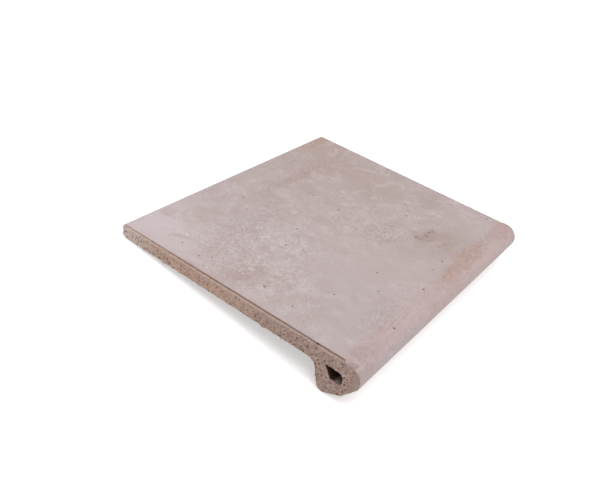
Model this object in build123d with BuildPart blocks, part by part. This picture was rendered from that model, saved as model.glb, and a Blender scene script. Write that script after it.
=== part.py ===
from build123d import *
from math import asin, atan2, cos, degrees, hypot, radians, sin
import os

os.makedirs("parts", exist_ok=True)

# Stair tread tile with a hollow drop nose: one piece of fired clay, extruded along its nose.
# All sizes are in millimetres and all angles in degrees.
# The cross section is drawn with u towards the back edge and v up, from the point on the
# walking face where the rounding of the nose begins.

# Overall sizes of the tread
tile_length = 330.0
tread_depth = 250.0
back_thickness = 12.2
root_thickness = 16.0

# Back edge: it leans in under the tread, with a broad round below and a small one above
back_undercut = 3.2
back_low_radius = 6.0
back_top_radius = 1.2

# Nose: a quarter round, a tighter turn below it, then a cheek that leans back to the chin
nose_radius = 14.5
cheek_radius = 10.0
cheek_lean = 38.0
cheek_run = 17.1
chin_radius = 6.0

# Sole of the nose falls from the chin to the heel, and the inner face rises to the root
sole_fall = 24.0
sole_run = 24.2
heel_radius = 7.0
root_setback = 29.9
root_radius = 8.0

# Core hole that runs the whole length of the nose
core_top = 13.2
core_height = 11.5
core_front = 0.7
core_top_width = 18.8
core_low_width = 11.4
core_brow_radius = 5.5
core_jaw_radius = 3.0
core_back_radius = 0.8

# Shallow keying grooves along the underside
groove_pitch = 11.5
groove_width = 6.5
groove_depth = 0.9
groove_root_margin = 14.0
groove_back_margin = 14.0

# Ends: the cut edges are softened, and the glaze stops at a ledge beside the walking face
end_radius = 1.0
ledge_width = 2.4
ledge_depth = 1.2
ledge_setback = 4.0
ledge_corner_radius = 1.6


def direction(angle):
    """Unit step in the section, by its angle from u"""
    return Vector(cos(radians(angle)), sin(radians(angle)))


def round_centre(before, corner, after, radius):
    """Centre of the arc that rounds a corner between its two neighbours"""
    towards_before = (before - corner).normalized()
    towards_after = (after - corner).normalized()
    half = radians(towards_before.get_angle(towards_after)) / 2
    return corner + (towards_before + towards_after).normalized() * (radius / sin(half))


# Corners of the section, before they are rounded
nose_centre = Vector(0, -nose_radius)
cheek_centre = Vector(cheek_radius - nose_radius, -nose_radius)
cheek_top = cheek_centre + direction(180 + cheek_lean) * cheek_radius
chin = cheek_top + direction(cheek_lean - 90) * cheek_run
heel = chin + direction(-sole_fall) * sole_run
root = Vector(root_setback, -root_thickness)
back_low = Vector(tread_depth - back_undercut, -back_thickness)
back_top = Vector(tread_depth, 0)

# The tile lies on its heel and its lower back edge, so the tread tips back by this angle
heel_centre = round_centre(chin, heel, root, heel_radius)
back_low_centre = round_centre(root, back_low, back_top, back_low_radius)
back_top_centre = round_centre(back_low, back_top, Vector(0, 0), back_top_radius)
span = back_low_centre - heel_centre
rise_angle = degrees(atan2(span.Y, span.X))
round_angle = degrees(asin((back_low_radius - heel_radius) / hypot(span.X, span.Y)))
rest_tilt = rise_angle - round_angle


def height_at_rest(point):
    """Height of a point of the section above its start, once the tile lies at rest"""
    return point.Y * cos(radians(rest_tilt)) - point.X * sin(radians(rest_tilt))


def reach_at_rest(point):
    """Distance of a point of the section towards the back, once the tile lies at rest"""
    return point.X * cos(radians(rest_tilt)) + point.Y * sin(radians(rest_tilt))


front_reach = reach_at_rest(cheek_centre) - cheek_radius
back_reach = reach_at_rest(back_top_centre) + back_top_radius
rest_origin = Vector(
    0,
    -(front_reach + back_reach) / 2,
    heel_radius - height_at_rest(heel_centre),
)
back_axis = Vector(0, cos(radians(rest_tilt)), -sin(radians(rest_tilt)))
section_plane = Plane(origin=rest_origin, x_dir=back_axis, z_dir=(1, 0, 0))
tread_plane = Plane(origin=rest_origin, x_dir=(1, 0, 0), z_dir=section_plane.y_dir)

# Groove centres, spread over the underside between the two margins
groove_start = root_setback + groove_root_margin
groove_room = back_low.X - groove_back_margin - groove_start
groove_count = int(groove_room / groove_pitch) + 1
groove_radius = (groove_width**2 / 4 + groove_depth**2) / (2 * groove_depth)
underside = (back_low - root).normalized()
underside_out = Vector(underside.Y, -underside.X)
groove_centres = []
for number in range(groove_count):
    along = (groove_start + number * groove_pitch - root_setback) / underside.X
    on_face = root + underside * along
    groove_centres.append(on_face + underside_out * (groove_radius - groove_depth))

# Corners of the core hole, before they are rounded
core_brow = Vector(core_front, -core_top)
core_jaw = Vector(core_front, -core_top - core_height)
core_low_back = Vector(core_front + core_low_width, -core_top - core_height)
core_top_back = Vector(core_front + core_top_width, -core_top)

# Tread tile: the section extruded along the nose, with its grooves, core hole and ledges
with BuildPart() as tread_tile:
    with BuildSketch(section_plane) as section:
        with BuildLine():
            Line(back_top, (0, 0))
            CenterArc(nose_centre, nose_radius, 90, 90)
            CenterArc(cheek_centre, cheek_radius, 180, cheek_lean)
            Polyline(cheek_top, chin, heel, root, back_low, back_top)
        make_face()
        for corner, radius in [
            (chin, chin_radius),
            (heel, heel_radius),
            (root, root_radius),
            (back_low, back_low_radius),
            (back_top, back_top_radius),
        ]:
            fillet(section.vertices().sort_by_distance(corner)[0], radius)
    extrude(amount=tile_length / 2, both=True)

    # Softened edges round both cut ends
    fillet(tread_tile.faces().filter_by(Axis.X).edges(), end_radius)

    # Keying grooves, each a shallow arc, along the whole underside
    with BuildSketch(section_plane):
        with Locations(*groove_centres):
            Circle(groove_radius)
    extrude(amount=tile_length / 2, both=True, mode=Mode.SUBTRACT)

    # Core hole through the whole nose
    with BuildSketch(section_plane) as core_section:
        with BuildLine():
            Polyline(core_brow, core_jaw, core_low_back, core_top_back, close=True)
        make_face()
        for corner, radius in [
            (core_brow, core_brow_radius),
            (core_jaw, core_jaw_radius),
            (core_low_back, core_back_radius),
            (core_top_back, core_back_radius),
        ]:
            fillet(core_section.vertices().sort_by_distance(corner)[0], radius)
    extrude(amount=tile_length / 2, both=True, mode=Mode.SUBTRACT)

    # Ledge along each end of the walking face, from the back edge to just short of the nose
    with BuildSketch(tread_plane) as ledges:
        with Locations((-tile_length / 2, ledge_setback), (tile_length / 2, ledge_setback)):
            Rectangle(2 * ledge_width, 2 * tread_depth, align=(Align.CENTER, Align.MIN))
        fillet(ledges.vertices().group_by(Axis.Y)[0], ledge_corner_radius)
    extrude(amount=-ledge_depth, mode=Mode.SUBTRACT)

tread_tile.part.label = "tread_tile"
export_step(tread_tile.part, "parts/tread_tile.step")
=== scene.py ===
import math

import bpy
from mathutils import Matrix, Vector


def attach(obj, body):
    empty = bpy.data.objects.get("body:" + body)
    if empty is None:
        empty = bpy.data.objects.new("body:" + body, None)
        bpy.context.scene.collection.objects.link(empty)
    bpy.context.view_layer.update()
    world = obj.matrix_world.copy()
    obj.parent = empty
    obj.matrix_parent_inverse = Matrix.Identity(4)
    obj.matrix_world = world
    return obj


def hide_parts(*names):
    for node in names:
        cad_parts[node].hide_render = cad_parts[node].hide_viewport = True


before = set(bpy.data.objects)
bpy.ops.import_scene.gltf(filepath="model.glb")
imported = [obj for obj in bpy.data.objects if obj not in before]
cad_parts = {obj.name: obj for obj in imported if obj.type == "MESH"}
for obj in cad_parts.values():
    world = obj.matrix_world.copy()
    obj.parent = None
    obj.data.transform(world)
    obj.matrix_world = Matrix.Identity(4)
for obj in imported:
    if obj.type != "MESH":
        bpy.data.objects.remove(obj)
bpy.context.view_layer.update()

# Tile: one piece of coarse clay, pressed through a die along its nose, so that its section is
# even, and cut to length, so that its ends are rough. It is glazed on the walking face and the
# nose, and fired once.
MM = 0.001
ledge_width = 2.4
coarse_cell = 3.0
fine_cell = 1.0
fine_reach = 9.2
nose_reach = 15
nose_drop = 44

# Directions of the tile, read from the solid: up from the walking face, back from the nose,
# and the point on the left end where the flat tread turns into the nose
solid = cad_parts["tread_tile"].data
tread_face = max(solid.polygons, key=lambda face: face.area * face.normal.z)
along = Vector((1, 0, 0))
up = tread_face.normal.copy()
back = up.cross(along).normalized()
flat_points = [
    solid.vertices[index].co
    for face in solid.polygons
    if face.normal.dot(up) > 0.9999 and abs((face.center - tread_face.center).dot(up)) < 0.1 * MM
    for index in face.vertices
]
nose_start = min(flat_points, key=lambda point: point.dot(back))
tread_depth = max((point - nose_start).dot(back) for point in flat_points) / MM
half_length = max(vertex.co.x for vertex in solid.vertices) / MM
ledge_inside = half_length - ledge_width

# The tile is a copy of the solid, merged, with its flat faces made whole
tile = bpy.data.objects.new("tile", solid.copy())
bpy.context.scene.collection.objects.link(tile)
bpy.ops.object.select_all(action="DESELECT")
tile.select_set(True)
bpy.context.view_layer.objects.active = tile
bpy.ops.object.mode_set(mode="EDIT")
bpy.ops.mesh.select_mode(type="FACE")
bpy.ops.mesh.select_all(action="SELECT")
bpy.ops.mesh.customdata_custom_splitnormals_clear()
bpy.ops.mesh.remove_doubles(threshold=0.01 * MM)
bpy.ops.mesh.dissolve_limited(angle_limit=math.radians(0.3))

# It is cut across its length, closer together near the rough ends
steps_from_end = [1.7, 3.2, 4, 5, 6, 7.5, 9, 11, 13, 16, 20]
middle = [step * 5 for step in range(-28, 29)]
cross_cuts = [half_length - step for step in steps_from_end]
for place in middle + cross_cuts + [-cut for cut in cross_cuts]:
    bpy.ops.mesh.select_all(action="SELECT")
    bpy.ops.mesh.bisect(plane_co=along * place * MM, plane_no=along)

# It is cut into cells from front to back and from top to bottom, smaller ones near both ends
for cell, reach in ((coarse_cell, 0.0), (fine_cell, half_length - fine_reach)):
    bpy.ops.object.mode_set(mode="OBJECT")
    for face in tile.data.polygons:
        face.select = abs(face.center.x) >= reach * MM
    bpy.ops.object.mode_set(mode="EDIT")
    bpy.ops.mesh.hide(unselected=True)
    for axis, first, last in ((back, -nose_reach, tread_depth + 1), (up, -nose_drop, 0)):
        for number in range(int((last - first) / cell)):
            bpy.ops.mesh.select_all(action="SELECT")
            plane_point = nose_start + axis * (first + (number + 0.5) * cell) * MM
            bpy.ops.mesh.bisect(plane_co=plane_point, plane_no=axis)
    bpy.ops.mesh.reveal(select=False)
bpy.ops.object.mode_set(mode="OBJECT")

# Finish of each face: glaze on the walking face, over its back arris and down the nose as
# far as the chin, and bare clay on the rest
tile.data.materials.clear()
for name in ("glaze", "bare_clay"):
    tile.data.materials.append(bpy.data.materials.new(name))
for face in tile.data.polygons:
    place = (face.center - nose_start) / MM
    depth = place.dot(back)
    height = place.dot(up)
    between_ledges = abs(face.center.x) < ledge_inside * MM
    on_tread = face.normal.dot(up) > 0.45 and height > -1.0 and between_ledges
    on_nose = depth < 4 and face.normal.dot(up) > -0.75
    faces_front = face.normal.dot(back) < 0.02 and abs(face.normal.x) < 0.75
    face.material_index = 0 if on_tread or (on_nose and faces_front) else 1

# Rough clay: how much each point may move, by its distance from an end and its side
cut_skin = 0.3
mouth_depth = 6
rim_reach = 9
ends = tile.vertex_groups.new(name="cut_ends")
lower_rim = tile.vertex_groups.new(name="lower_rim")
hole_rim = tile.vertex_groups.new(name="hole_rim")
ledge_rim = tile.vertex_groups.new(name="ledge_rim")
underside = tile.vertex_groups.new(name="underside")
for vertex in tile.data.vertices:
    place = vertex.co - nose_start
    depth = place.dot(back) / MM
    height = place.dot(up) / MM
    from_end = half_length - abs(vertex.co.x) / MM
    if from_end < cut_skin:
        ends.add([vertex.index], 1.0, "REPLACE")
    facing_down = vertex.normal.dot(up) < 0.1 and abs(vertex.normal.x) < 0.9
    in_hole = 0 < depth < 21 and -26 < height < -12 and abs(vertex.normal.x) < 0.98
    if in_hole and from_end < mouth_depth:
        hole_rim.add([vertex.index], 1 - from_end / mouth_depth, "REPLACE")
    elif facing_down and height < -1 and depth > -6:
        underside.add([vertex.index], 1.0, "REPLACE")
        if from_end < rim_reach:
            lower_rim.add([vertex.index], (1 - from_end / rim_reach) ** 1.5, "REPLACE")
    if abs(from_end - ledge_width) < 0.4 and height > -1.6 and depth > 5:
        ledge_rim.add([vertex.index], 1.0, "REPLACE")

# Relief: each kind of roughness moves the points of its group by noise. A row gives the group,
# the size of the bumps and their height in millimetres, the level that stays, and the way.
reliefs = [
    ("cut_ends", 2.2, 0.8, 0.5, "NORMAL"),
    ("lower_rim", 6.0, 6.0, 0.6, "NORMAL"),
    ("lower_rim", 2.4, 2.4, 0.55, "NORMAL"),
    ("hole_rim", 2.2, 1.9, 0.5, "NORMAL"),
    ("ledge_rim", 5.0, 0.9, 0.5, "X"),
    ("underside", 18.0, 0.7, 0.5, "NORMAL"),
]
for group, bump_size, bump_height, level, way in reliefs:
    texture = bpy.data.textures.new(group + "_noise", type="CLOUDS")
    texture.noise_scale = bump_size * MM
    texture.noise_depth = 3
    relief = tile.modifiers.new(group, "DISPLACE")
    relief.texture = texture
    relief.texture_coords = "LOCAL"
    relief.direction = way
    relief.vertex_group = group
    relief.strength = bump_height * MM
    relief.mid_level = level
    bpy.ops.object.modifier_apply(modifier=relief.name)
bpy.ops.object.shade_smooth_by_angle(angle=math.radians(35))

# Glaze: a thin satin coat, fired on with the clay. It is rose grey, made lighter at the back left by
# painted light, and browner at the right, clouded and mottled, with iron specks and a short scratch.


def join(tree, operation, first, second):
    """One calculation with two values, either of which may be a plain number"""
    calculation = tree.nodes.new("ShaderNodeMath")
    calculation.operation = operation
    for socket, value in zip(calculation.inputs, (first, second)):
        if isinstance(value, (int, float)):
            socket.default_value = value
        else:
            tree.links.new(value, socket)
    return calculation.outputs["Value"]


def shown_as(shade):
    """A colour given as 0 to 255 a channel, in the values that a material takes"""
    return (*[(part / 255) ** 2.2 for part in shade], 1)


def open_finish(material, shade):
    """Starts a finish with its ground shade. It gives the place on the tile in millimetres,
    with x along the nose, y back from the start of the nose and z up from the walking face,
    and also the distance from the middle, the distance back and the height on their own."""
    material.use_nodes = True
    tree = material.node_tree
    coordinates = tree.nodes.new("ShaderNodeTexCoord")
    mapping = tree.nodes.new("ShaderNodeMapping")
    mapping.inputs["Scale"].default_value = (1 / MM, 1 / MM, 1 / MM)
    mapping.inputs["Rotation"].default_value = (math.atan2(up.y, up.z), 0, 0)
    mapping.inputs["Location"].default_value = (0, -nose_start.dot(back) / MM, -nose_start.dot(up) / MM)
    tree.links.new(coordinates.outputs["Object"], mapping.inputs["Vector"])
    place = mapping.outputs["Vector"]
    split = tree.nodes.new("ShaderNodeSeparateXYZ")
    tree.links.new(place, split.inputs["Vector"])
    from_middle = join(tree, "ABSOLUTE", split.outputs["X"], 0.0)
    ground = tree.nodes.new("ShaderNodeRGB")
    ground.outputs["Color"].default_value = shown_as(shade)
    return tree, place, from_middle, split.outputs["Y"], split.outputs["Z"], ground.outputs["Color"]


glaze, place, from_middle, from_nose, height, colour = open_finish(tile.data.materials[0], (186, 169, 167))


def shift_and_scale(tree, place, operation, amount):
    """A place with a plain vector added, taken away or multiplied in"""
    mover = tree.nodes.new("ShaderNodeVectorMath")
    mover.operation = operation
    mover.inputs[1].default_value = amount
    tree.links.new(place, mover.inputs[0])
    return mover.outputs["Vector"]


def noise(tree, place, size, detail=3.0, rough=0.55, twist=0.0, stretch=(1, 1, 1)):
    """Noise with features of this size in millimetres, as a value round a half and a colour"""
    pattern = tree.nodes.new("ShaderNodeTexNoise")
    pattern.inputs["Scale"].default_value = 1.0
    pattern.inputs["Detail"].default_value = detail
    pattern.inputs["Roughness"].default_value = rough
    pattern.inputs["Distortion"].default_value = twist
    shrunk = shift_and_scale(tree, place, "MULTIPLY", [part / size for part in stretch])
    tree.links.new(shrunk, pattern.inputs["Vector"])
    return pattern.outputs


def stray(tree, place, size, reach):
    """Places pushed about by noise of this size, so that what is drawn on them has torn edges"""
    push = tree.nodes.new("ShaderNodeVectorMath")
    push.operation = "MULTIPLY_ADD"
    push.inputs[1].default_value = (reach, reach, 0)
    tree.links.new(noise(tree, place, size, 6.0, 0.62)["Color"], push.inputs[0])
    centred = shift_and_scale(tree, place, "SUBTRACT", (reach / 2, reach / 2, 0))
    tree.links.new(centred, push.inputs[2])
    return push.outputs["Vector"]


wandering = stray(glaze, place, 17, 30)
fraying = stray(glaze, place, 5, 9)
torn = stray(glaze, place, 14, 24)


def times(tree, first, *others):
    """Product of several values"""
    for other in others:
        first = join(tree, "MULTIPLY", first, other)
    return first


def ramp(tree, value, low, high, to_low=0.0, to_high=1.0):
    """Maps a value from one range to another, smoothly and kept inside it"""
    mapper = tree.nodes.new("ShaderNodeMapRange")
    mapper.interpolation_type = "SMOOTHSTEP"
    mapper.inputs["From Min"].default_value = low
    mapper.inputs["From Max"].default_value = high
    mapper.inputs["To Min"].default_value = to_low
    mapper.inputs["To Max"].default_value = to_high
    tree.links.new(value, mapper.inputs["Value"])
    return mapper.outputs["Result"]


def tint(tree, under, shade, mask, strength=1.0):
    """Lays a shade over a colour by a mask"""
    if strength != 1.0:
        mask = times(tree, mask, strength)
    mixer = tree.nodes.new("ShaderNodeMix")
    mixer.data_type = "RGBA"
    tree.links.new(mask, mixer.inputs[0])
    tree.links.new(under, mixer.inputs[6])
    mixer.inputs[7].default_value = shown_as(shade)
    return mixer.outputs[2]


def patch(tree, place, centre, radii, turn=0.0, soft=1.0):
    """A soft oval, on the walking face unless a height is given: 1 in its middle and 0 outside"""
    oval = tree.nodes.new("ShaderNodeMapping")
    oval.vector_type = "TEXTURE"
    oval.inputs["Location"].default_value = (*centre, 0)[:3]
    oval.inputs["Rotation"].default_value = (0, 0, math.radians(turn))
    oval.inputs["Scale"].default_value = (*radii, 60)[:3]
    tree.links.new(place, oval.inputs["Vector"])
    distance = tree.nodes.new("ShaderNodeVectorMath")
    distance.operation = "LENGTH"
    tree.links.new(oval.outputs["Vector"], distance.inputs[0])
    return ramp(tree, distance.outputs["Value"], 1.0, 1.0 - soft)


# Clouds: two broad areas of painted light on the left half, then stains whose strength is broken up by
# wisps
wisps = noise(glaze, place, 9.5, 8.0, 0.6, 0.6)["Fac"]
broken = ramp(glaze, wisps, 0.36, 0.62, 0.35, 1.25)
# Painted light: the back left corner and the left side of the walking face are made paler
painted_light_corner = patch(glaze, wandering, (-145, 232), (110, 95))
colour = tint(glaze, colour, (206, 191, 193), painted_light_corner, 0.95)
painted_light_side = patch(glaze, wandering, (-70, 150), (62, 150))
colour = tint(glaze, colour, (193, 179, 181), painted_light_side, 0.55)
clouds = [
    ((-115, 35), (100, 85), (180, 168, 170), 0.7),
    ((135, 190), (125, 120), (176, 153, 145), 0.9),
    ((155, 172), (26, 46), (188, 173, 175), 0.6),
    ((50, 204), (120, 18), (167, 140, 131), 0.7),
    ((66, 112), (26, 18), (170, 152, 140), 0.5),
    ((24, 50), (26, 20), (174, 153, 145), 0.5),
    ((-88, 124), (24, 24), (199, 187, 189), 0.5),
    ((-158, 224), (14, 30), (193, 176, 177), 0.5),
    ((98, 128), (48, 32), (172, 154, 141), 0.75),
    ((130, 82), (40, 22), (168, 146, 139), 0.7),
    ((68, 30), (54, 40), (164, 143, 133), 0.8),
    ((64, 52), (32, 14), (156, 134, 122), 0.5),
    ((150, 242), (60, 26), (176, 144, 128), 0.75),
    ((-142, 128), (22, 19), (170, 145, 137), 0.65),
    ((-100, 207), (30, 16), (178, 156, 148), 0.55),
    ((-70, 108), (17, 14), (176, 158, 150), 0.5),
    ((10, 175), (70, 34), (184, 166, 162), 0.45),
]
for centre, radii, shade, strength in clouds:
    cloud = times(glaze, patch(glaze, wandering, centre, radii), strength, broken)
    colour = tint(glaze, colour, shade, cloud)


def mottle(tree, colour, layers):
    """Lays each shade where its pattern passes from low to high, at a strength, in an area"""
    for pattern, low, high, strength, area, shade in layers:
        mask = times(tree, ramp(tree, pattern, low, high, 0.0, strength), area)
        colour = tint(tree, colour, shade, mask)
    return colour


# Mottling: drifts, wisps and veins, pale and dark, quieter where the face is calm
calm = patch(glaze, wandering, (-40, 52), (115, 68))
calm = join(glaze, "MAXIMUM", calm, patch(glaze, wandering, (-152, 236), (48, 38)))
calm = join(glaze, "MAXIMUM", calm, ramp(glaze, from_nose, 80, 20, 0.0, 0.6))
stirred = join(glaze, "SUBTRACT", 1.0, times(glaze, calm, 0.7))
lively = ramp(glaze, noise(glaze, place, 45, 3.0, 0.6)["Fac"], 0.4, 0.62, 0.3, 1.0)
lively = times(glaze, lively, join(glaze, "SUBTRACT", 1.0, times(glaze, calm, 0.85)))
veined = times(glaze, patch(glaze, wandering, (25, 95), (70, 45)), 0.7)
veined = join(glaze, "MAXIMUM", veined, patch(glaze, wandering, (-108, 138), (84, 84)))
drifts = noise(glaze, place, 24, 6.0, 0.6, 0.8)["Fac"]
veins = noise(glaze, place, 7, 8.0, 0.62, 1.4)["Fac"]
mottling = [
    (drifts, 0.5, 0.66, 0.45, stirred, (203, 189, 190)),
    (drifts, 0.5, 0.34, 0.45, stirred, (176, 157, 152)),
    (wisps, 0.5, 0.68, 0.45, lively, (214, 203, 204)),
    (wisps, 0.47, 0.33, 0.5, lively, (168, 149, 145)),
    (veins, 0.51, 0.64, 0.6, veined, (214, 203, 205)),
    (veins, 0.46, 0.34, 0.55, veined, (164, 144, 139)),
]
colour = mottle(glaze, colour, mottling)

# Nose: a warmer band with a frayed edge runs along it, with patches and smears on it
patchy = ramp(glaze, noise(glaze, place, 5, 8.0, 0.72, 0.3)["Fac"], 0.36, 0.6, 0.45, 1.15)
on_nose = patch(glaze, fraying, (0, -4), (420, 13), 0, 0.25)
colour = tint(glaze, colour, (185, 164, 162), times(glaze, on_nose, patchy), 0.85)
bands = [
    ((50, 0), (72, 12), 2, (180, 150, 138), 0.8),
    ((150, -1), (40, 13), 0, (183, 153, 147), 0.8),
    ((-155, -4), (38, 15), 0, (172, 152, 151), 0.85),
    ((-62, -2), (30, 17), 0, (190, 173, 172), 0.7),
    ((56, 5), (64, 6), 3, (176, 150, 138), 0.3),
    ((95, -11), (75, 5), 0, (199, 175, 172), 0.5),
    ((-100, -15), (74, 7), 0, (182, 167, 170), 0.75),
]
for centre, radii, turn, shade, strength in bands:
    band = times(glaze, patch(glaze, torn, centre, radii, turn, 0.6), strength, patchy)
    colour = tint(glaze, colour, shade, band)
smears = noise(glaze, place, 4.5, 7.0, 0.66, 0.9, (0.5, 1, 1))["Fac"]
smearing = [
    (smears, 0.52, 0.66, 0.4, on_nose, (204, 186, 185)),
    (smears, 0.49, 0.35, 0.5, on_nose, (176, 150, 141)),
]
colour = mottle(glaze, colour, smearing)

# Grain and blotches: fine grain all over, three brown smudges, and zones of dark blotches
fine = noise(glaze, place, 1.6, 3.0, 0.6, 0.6)["Fac"]
graining = [
    (fine, 0.52, 0.68, 0.5, lively, (162, 143, 140)),
    (fine, 0.48, 0.32, 0.45, lively, (218, 207, 208)),
]
colour = mottle(glaze, colour, graining)
blotches = ramp(glaze, noise(glaze, place, 2.6, 5.0, 0.72, 0.8)["Fac"], 0.48, 0.62)
for centre, radii in (((53, 54), (8, 5)), ((72, 50), (14, 5)), ((60, 48), (30, 14))):
    smudge = times(glaze, patch(glaze, fraying, centre, radii), join(glaze, "ADD", blotches, 0.35))
    colour = tint(glaze, colour, (134, 106, 88), smudge, 0.3)
zones = [
    ((-134, 125), (40, 32), 0.5),
    ((-112, 165), (52, 42), 0.45),
    ((32, 80), (42, 30), 0.85),
    ((-60, 180), (70, 34), 0.55),
    ((-90, 12), (70, 22), 0.5),
    ((70, 2), (110, 14), 0.75),
]
for centre, radii, strength in zones:
    zone = times(glaze, patch(glaze, wandering, centre, radii), strength, blotches)
    colour = tint(glaze, colour, (151, 130, 124), zone)

# Iron specks, by their place on the walking face and their radius
specks = [
    ((-137, 105.5), 1.6), ((-96.5, -3), 1.6), ((-25, 6), 1.5), ((155, 20), 1.5), ((-69, 132.5), 1.4),
    ((76.5, 48.5), 1.4), ((33.5, 15.5), 1.4), ((-37, 142.5), 1.3), ((82, 83), 1.3), ((-37, 49.5), 1.2),
    ((-140, 163), 1.1), ((-62, 33.5), 1.1), ((-143, 196), 1.1), ((-147, 172.5), 1.1), ((-33.5, 213), 1.3),
    ((156, 12.5), 1.2), ((10.5, 2), 1.0), ((-98, 58), 1.0), ((103, 95.5), 1.1), ((16, 127), 1.2),
    ((12, 15), 1.0), ((28.5, 136), 1.1), ((32, 170.5), 1.1), ((34, 176.5), 1.0), ((-63, 117), 0.9),
    ((79.5, 231), 1.1), ((131.5, 102), 1.0), ((115, 62.5), 1.0), ((42.5, 77.5), 0.9), ((29, 233), 1.0),
    ((-155, 160), 0.9), ((-140, 73), 0.9), ((-48.5, 197), 0.9), ((-76, 206), 0.9), ((-107, 153), 0.9),
    ((51.5, 55), 1.6), ((52.5, 50), 1.0), ((72, 50), 1.3), ((66, 52), 0.9),
]
for centre, radius in specks:
    speck = patch(glaze, place, centre, (radius, radius * 1.2), 0, 0.7)
    colour = tint(glaze, colour, (88, 72, 60), speck, 0.85)

# Scratch: two pale dotted lines near the left end
dots = ramp(glaze, noise(glaze, place, 1.7, 1.0)["Fac"], 0.49, 0.56)
for centre, radii, turn in (((-129.5, 197), (1.0, 27), 7), ((-134, 242), (0.9, 9), -12)):
    scratch = times(glaze, patch(glaze, place, centre, radii, turn, 0.6), dots)
    colour = tint(glaze, colour, (228, 218, 216), scratch)

# Chips at the left end of the nose, where the glaze is broken back to the clay
chips = [
    ((-163, -2, -1), (3.5, 3, 3)),
    ((-162, -5, -2), (4, 2, 3)),
    ((-164.5, -11, -6), (1.5, 4, 4)),
]
for centre, radii in chips:
    chip = patch(glaze, fraying, centre, radii, 0, 0.6)
    colour = tint(glaze, colour, (156, 131, 120), chip, 0.75)

# Along each ledge a dark line of painted shade lies on the edge of the glaze, where it steps down to the
# ledge
painted_step_shade = ramp(glaze, from_middle, ledge_inside - 1.1, ledge_inside - 0.2)
painted_step_shade = times(glaze, painted_step_shade, ramp(glaze, from_nose, 3.0, 6.0))
colour = tint(glaze, colour, (118, 96, 88), painted_step_shade, 0.65)


def close_finish(tree, colour, specular, relief, depth, strength):
    """Hands a finish its colour and a fine relief, and gives the surface back"""
    surface = tree.nodes["Principled BSDF"]
    tree.links.new(colour, surface.inputs["Base Color"])
    surface.inputs["Specular IOR Level"].default_value = specular
    bump = tree.nodes.new("ShaderNodeBump")
    bump.inputs["Distance"].default_value = depth * MM
    bump.inputs["Strength"].default_value = strength
    tree.links.new(relief, bump.inputs["Height"])
    tree.links.new(bump.outputs["Normal"], surface.inputs["Normal"])
    return surface


# The glaze ends on an uneven line just above the chin of the nose
uneven = times(glaze, noise(glaze, place, 9, 4.0)["Fac"], 5.0)
below_glaze = ramp(glaze, join(glaze, "ADD", height, uneven), -28.4, -29.2)
colour = tint(glaze, colour, (168, 142, 131), below_glaze)
surface = close_finish(glaze, colour, 0.3, fine, 0.2, 0.35)
glaze.links.new(ramp(glaze, fine, 0.3, 0.7, 0.5, 0.62), surface.inputs["Roughness"])

# Bare clay: the coarse fired body of the tile, unglazed on the cut ends, the ledges, the back
# edge and the underside. Painted light makes it lighter towards the back, and it is full of grit and open
# pits.
clay, place, from_middle, from_nose, height, colour = open_finish(tile.data.materials[1], (173, 147, 137))
# Painted light: the clay is made paler back from the nose, most of all near the back edge
colour = tint(clay, colour, (192, 161, 146), ramp(clay, from_nose, 50, 140))
colour = tint(clay, colour, (213, 196, 188), ramp(clay, from_nose, 195, 250))
grain = noise(clay, place, 2.6, 5.0, 0.65)["Fac"]
colour = tint(clay, colour, (204, 184, 174), ramp(clay, grain, 0.5, 0.32, 0.0, 0.6))
colour = tint(clay, colour, (136, 108, 98), ramp(clay, grain, 0.52, 0.7, 0.0, 0.7))

# Grit shows most on the cut ends, and least where the front of the nose is rubbed smooth.
# A row gives the space between the grains, their width in it, the share seen and the shade.
rubbed = ramp(clay, from_nose, -5.5, -8.0)
at_end = ramp(clay, from_middle, half_length - 2.2, half_length - 0.8)
open_clay = join(clay, "SUBTRACT", at_end, times(clay, rubbed, 0.8))
open_clay = join(clay, "MAXIMUM", open_clay, 0.22)
shake = clay.nodes.new("ShaderNodeVectorMath")
shake.operation = "MULTIPLY_ADD"
shake.inputs[1].default_value = (1.8, 1.8, 1.8)
clay.links.new(noise(clay, place, 1.4, 3.0)["Color"], shake.inputs[0])
clay.links.new(place, shake.inputs[2])
grit = []
for spacing, width, share, shade in ((3.2, 0.34, 0.34, (98, 68, 57)), (1.7, 0.38, 0.7, (128, 102, 84))):
    grains = clay.nodes.new("ShaderNodeTexVoronoi")
    grains.inputs["Scale"].default_value = 1 / spacing
    clay.links.new(shake.outputs["Vector"], grains.inputs["Vector"])
    pick = clay.nodes.new("ShaderNodeSeparateColor")
    clay.links.new(grains.outputs["Color"], pick.inputs["Color"])
    near = ramp(clay, grains.outputs["Distance"], width, width * 0.5)
    chosen = times(clay, near, ramp(clay, pick.outputs["Red"], 1 - share, 1.1 - share), open_clay)
    colour = tint(clay, colour, shade, chosen, 0.82)
    grit.append(chosen)
colour = tint(clay, colour, (157, 137, 131), times(clay, rubbed, at_end), 0.6)

# Larger open pits on the left cut end, by their place back from the nose and below the tread
pits = [
    ((42.8, -2.8), 0.9), ((38.8, -6.8), 1.0), ((32.3, -12.1), 1.1), ((26.2, -13.6), 1.3),
    ((24, -16.5), 1.3), ((26.3, -21.3), 1.3), ((27.5, -18), 1.1), ((19.4, -26.3), 1.0),
    ((15.6, -25.6), 0.9), ((13.5, -5), 1.1), ((4.8, -3.5), 1.1), ((4, -6.4), 1.2),
    ((-1.1, -18.6), 1.1), ((-3.5, -25.7), 1.0), ((-1, -21.7), 1.1), ((-4.8, -11.1), 0.9),
    ((10.1, -27.7), 1.0), ((1.7, -33.6), 0.9),
]
for (pit_depth, pit_height), radius in pits:
    pit = patch(clay, place, (-half_length, pit_depth, pit_height), (3, radius, radius * 0.9), 0, 0.7)
    colour = tint(clay, colour, (84, 58, 48), pit, 0.8)

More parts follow.
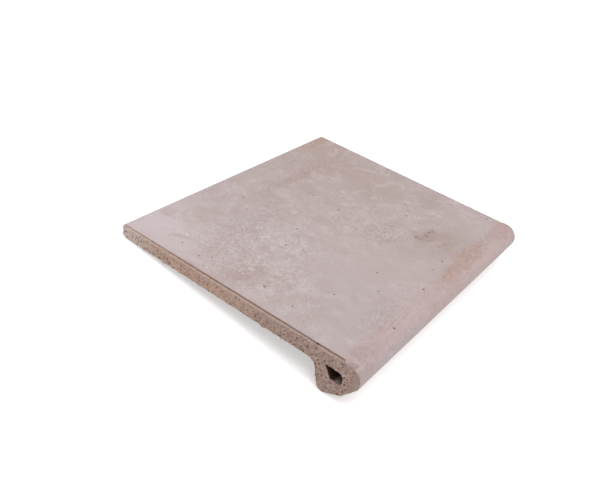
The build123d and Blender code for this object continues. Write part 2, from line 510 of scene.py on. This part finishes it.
# The extruded skin is streaked along the nose
skin = join(clay, "SUBTRACT", 1.0, at_end)
streaks = noise(clay, place, 3.0, 4.0, 0.6, 0.0, (0.06, 1, 1))["Fac"]
streaking = [
    (streaks, 0.5, 0.68, 0.5, skin, (196, 172, 160)),
    (streaks, 0.5, 0.32, 0.5, skin, (140, 112, 101)),
]
colour = mottle(clay, colour, streaking)

# Painted shade darkens the keying grooves. The distance to the nearest one is counted from a place
# before the nose, so that it stays positive.
groove_pitch = 11.5
first_groove = 43.9
from_groove = join(clay, "ADD", from_nose, groove_pitch * 8 - first_groove)
from_groove = join(clay, "PINGPONG", from_groove, groove_pitch / 2)
under_slab = times(clay, ramp(clay, height, -8, -10), ramp(clay, from_nose, 36, 40))
# Painted shade: the bottoms of the grooves under the slab are made darker
painted_groove_shade = times(clay, ramp(clay, from_groove, 3.6, 2.2), under_slab, skin)
colour = tint(clay, colour, (136, 112, 102), painted_groove_shade, 0.5)

# The ledge is paler than the ends, by painted light where it faces up, and painted shade lies along its
# inner wall as a dark line and as a dark nick
# Painted light: the up-facing ledge floor is made paler, more so back from the nose
near_top = ramp(clay, height, -2.6, -1.8)
outside = ramp(clay, from_middle, ledge_inside - 0.2, ledge_inside + 0.3)
behind_nose = ramp(clay, from_nose, -20.0, 40.0, 0.0, 0.45)
colour = tint(clay, colour, (196, 174, 165), times(clay, near_top, outside, behind_nose), 0.9)
# Painted shade: a dark line along the top of the step wall, weaker towards the back
wall = ramp(clay, from_middle, ledge_inside + 0.9, ledge_inside + 0.4)
painted_wall_shade = times(clay, wall, near_top, ramp(clay, from_nose, 140, 210, 1.0, 0.1))
colour = tint(clay, colour, (122, 101, 92), painted_wall_shade, 0.42)
# Painted shade: a dark nick on the wall, drawn in colour only, with no relief
painted_nick_shade = patch(clay, place, (-half_length + 2.2, 31, -0.6), (1.8, 2.2, 2), 0, 0.6)
colour = tint(clay, colour, (96, 68, 56), painted_nick_shade, 0.8)

# Core hole: painted shade inside the nose, with painted light on its floor
between_walls = times(clay, ramp(clay, from_nose, -1.5, 0.0), ramp(clay, from_nose, 22, 20.5))
above_floor = ramp(clay, height, -26.5, -25.5)
below_roof = ramp(clay, height, -11.5, -12.5)
inside_end = ramp(clay, from_middle, half_length - 0.4, half_length - 1.4)
painted_shade_in_core = times(clay, between_walls, above_floor, below_roof, inside_end)
# Painted shade: the inside of the hole is made near black
colour = tint(clay, colour, (58, 36, 24), painted_shade_in_core, 0.95)
painted_core_floor_light = times(clay, ramp(clay, height, -21.5, -24.0), ramp(clay, from_nose, 10, 6))
# Painted light: a lighter patch on the floor of the hole near its mouth
colour = tint(clay, colour, (156, 138, 126), times(clay, painted_shade_in_core, painted_core_floor_light), 0.85)
rough = join(clay, "SUBTRACT", grain, times(clay, join(clay, "MAXIMUM", *grit), 0.7))
surface = close_finish(clay, colour, 0.2, rough, 1.0, 0.7)
surface.inputs["Roughness"].default_value = 0.9

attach(tile, "root")
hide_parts("tread_tile")

# Floor: a wide sheet of pale paper, laid level under the tile. It glows just enough to turn
# white to the camera, and keeps the tile's shadow.


def seen_rays(tree):
    """1 for the rays that show the background, straight, in gloss or through glass"""
    rays = tree.nodes.new("ShaderNodeLightPath")
    seen = join(tree, "MAXIMUM", rays.outputs["Is Camera Ray"], rays.outputs["Is Glossy Ray"])
    return join(tree, "MAXIMUM", seen, rays.outputs["Is Transmission Ray"])


bpy.ops.object.select_all(action="DESELECT")
bpy.ops.mesh.primitive_plane_add(size=8, location=(0, 0, 0))
floor = bpy.context.active_object
floor.name = "floor"
paper = bpy.data.materials.new("paper")
paper.use_nodes = True
tree = paper.node_tree
surface = tree.nodes["Principled BSDF"]
surface.inputs["Base Color"].default_value = (0.8, 0.8, 0.8, 1)
surface.inputs["Roughness"].default_value = 1.0
surface.inputs["Specular IOR Level"].default_value = 0.0
surface.inputs["Emission Color"].default_value = (1, 1, 1, 1)
tree.links.new(times(tree, seen_rays(tree), 0.45), surface.inputs["Emission Strength"])
floor.data.materials.append(paper)

# Light: an even surround that is white to the camera, and a large soft lamp hung above the
# left half of the nose and turned to the tile
room_light = 0.62
world = bpy.data.worlds.new("white_room")
bpy.context.scene.world = world
world.use_nodes = True
tree = world.node_tree
sky = tree.nodes["Background"]
added = times(tree, seen_rays(tree), 1 - room_light)
tree.links.new(join(tree, "ADD", added, room_light), sky.inputs["Strength"])
sky.inputs["Color"].default_value = (1, 1, 1, 1)
bpy.ops.object.light_add(type="AREA", location=(-0.5, -0.35, 1.6))
lamp = bpy.context.active_object
lamp.data.shape = "DISK"
lamp.data.size = 1.2
lamp.data.energy = 13
lamp.rotation_euler = (Vector((0, 0, 0)) - lamp.location).to_track_quat("-Z", "Y").to_euler()

# Camera: it looks down on the left end and the nose, with its horizon turned as in the photo
bpy.ops.object.camera_add(location=(-0.5939, -0.2337, 0.4475))
camera = bpy.context.active_object
camera.rotation_euler = [math.radians(angle) for angle in (52.28, -16.578, -53.058)]
camera.data.lens = 46.59
camera.data.shift_x = -0.00085
camera.data.shift_y = 0.00085
camera.data.clip_start = 0.01
bpy.context.scene.camera = camera

bpy.context.scene.view_settings.view_transform = "Standard"
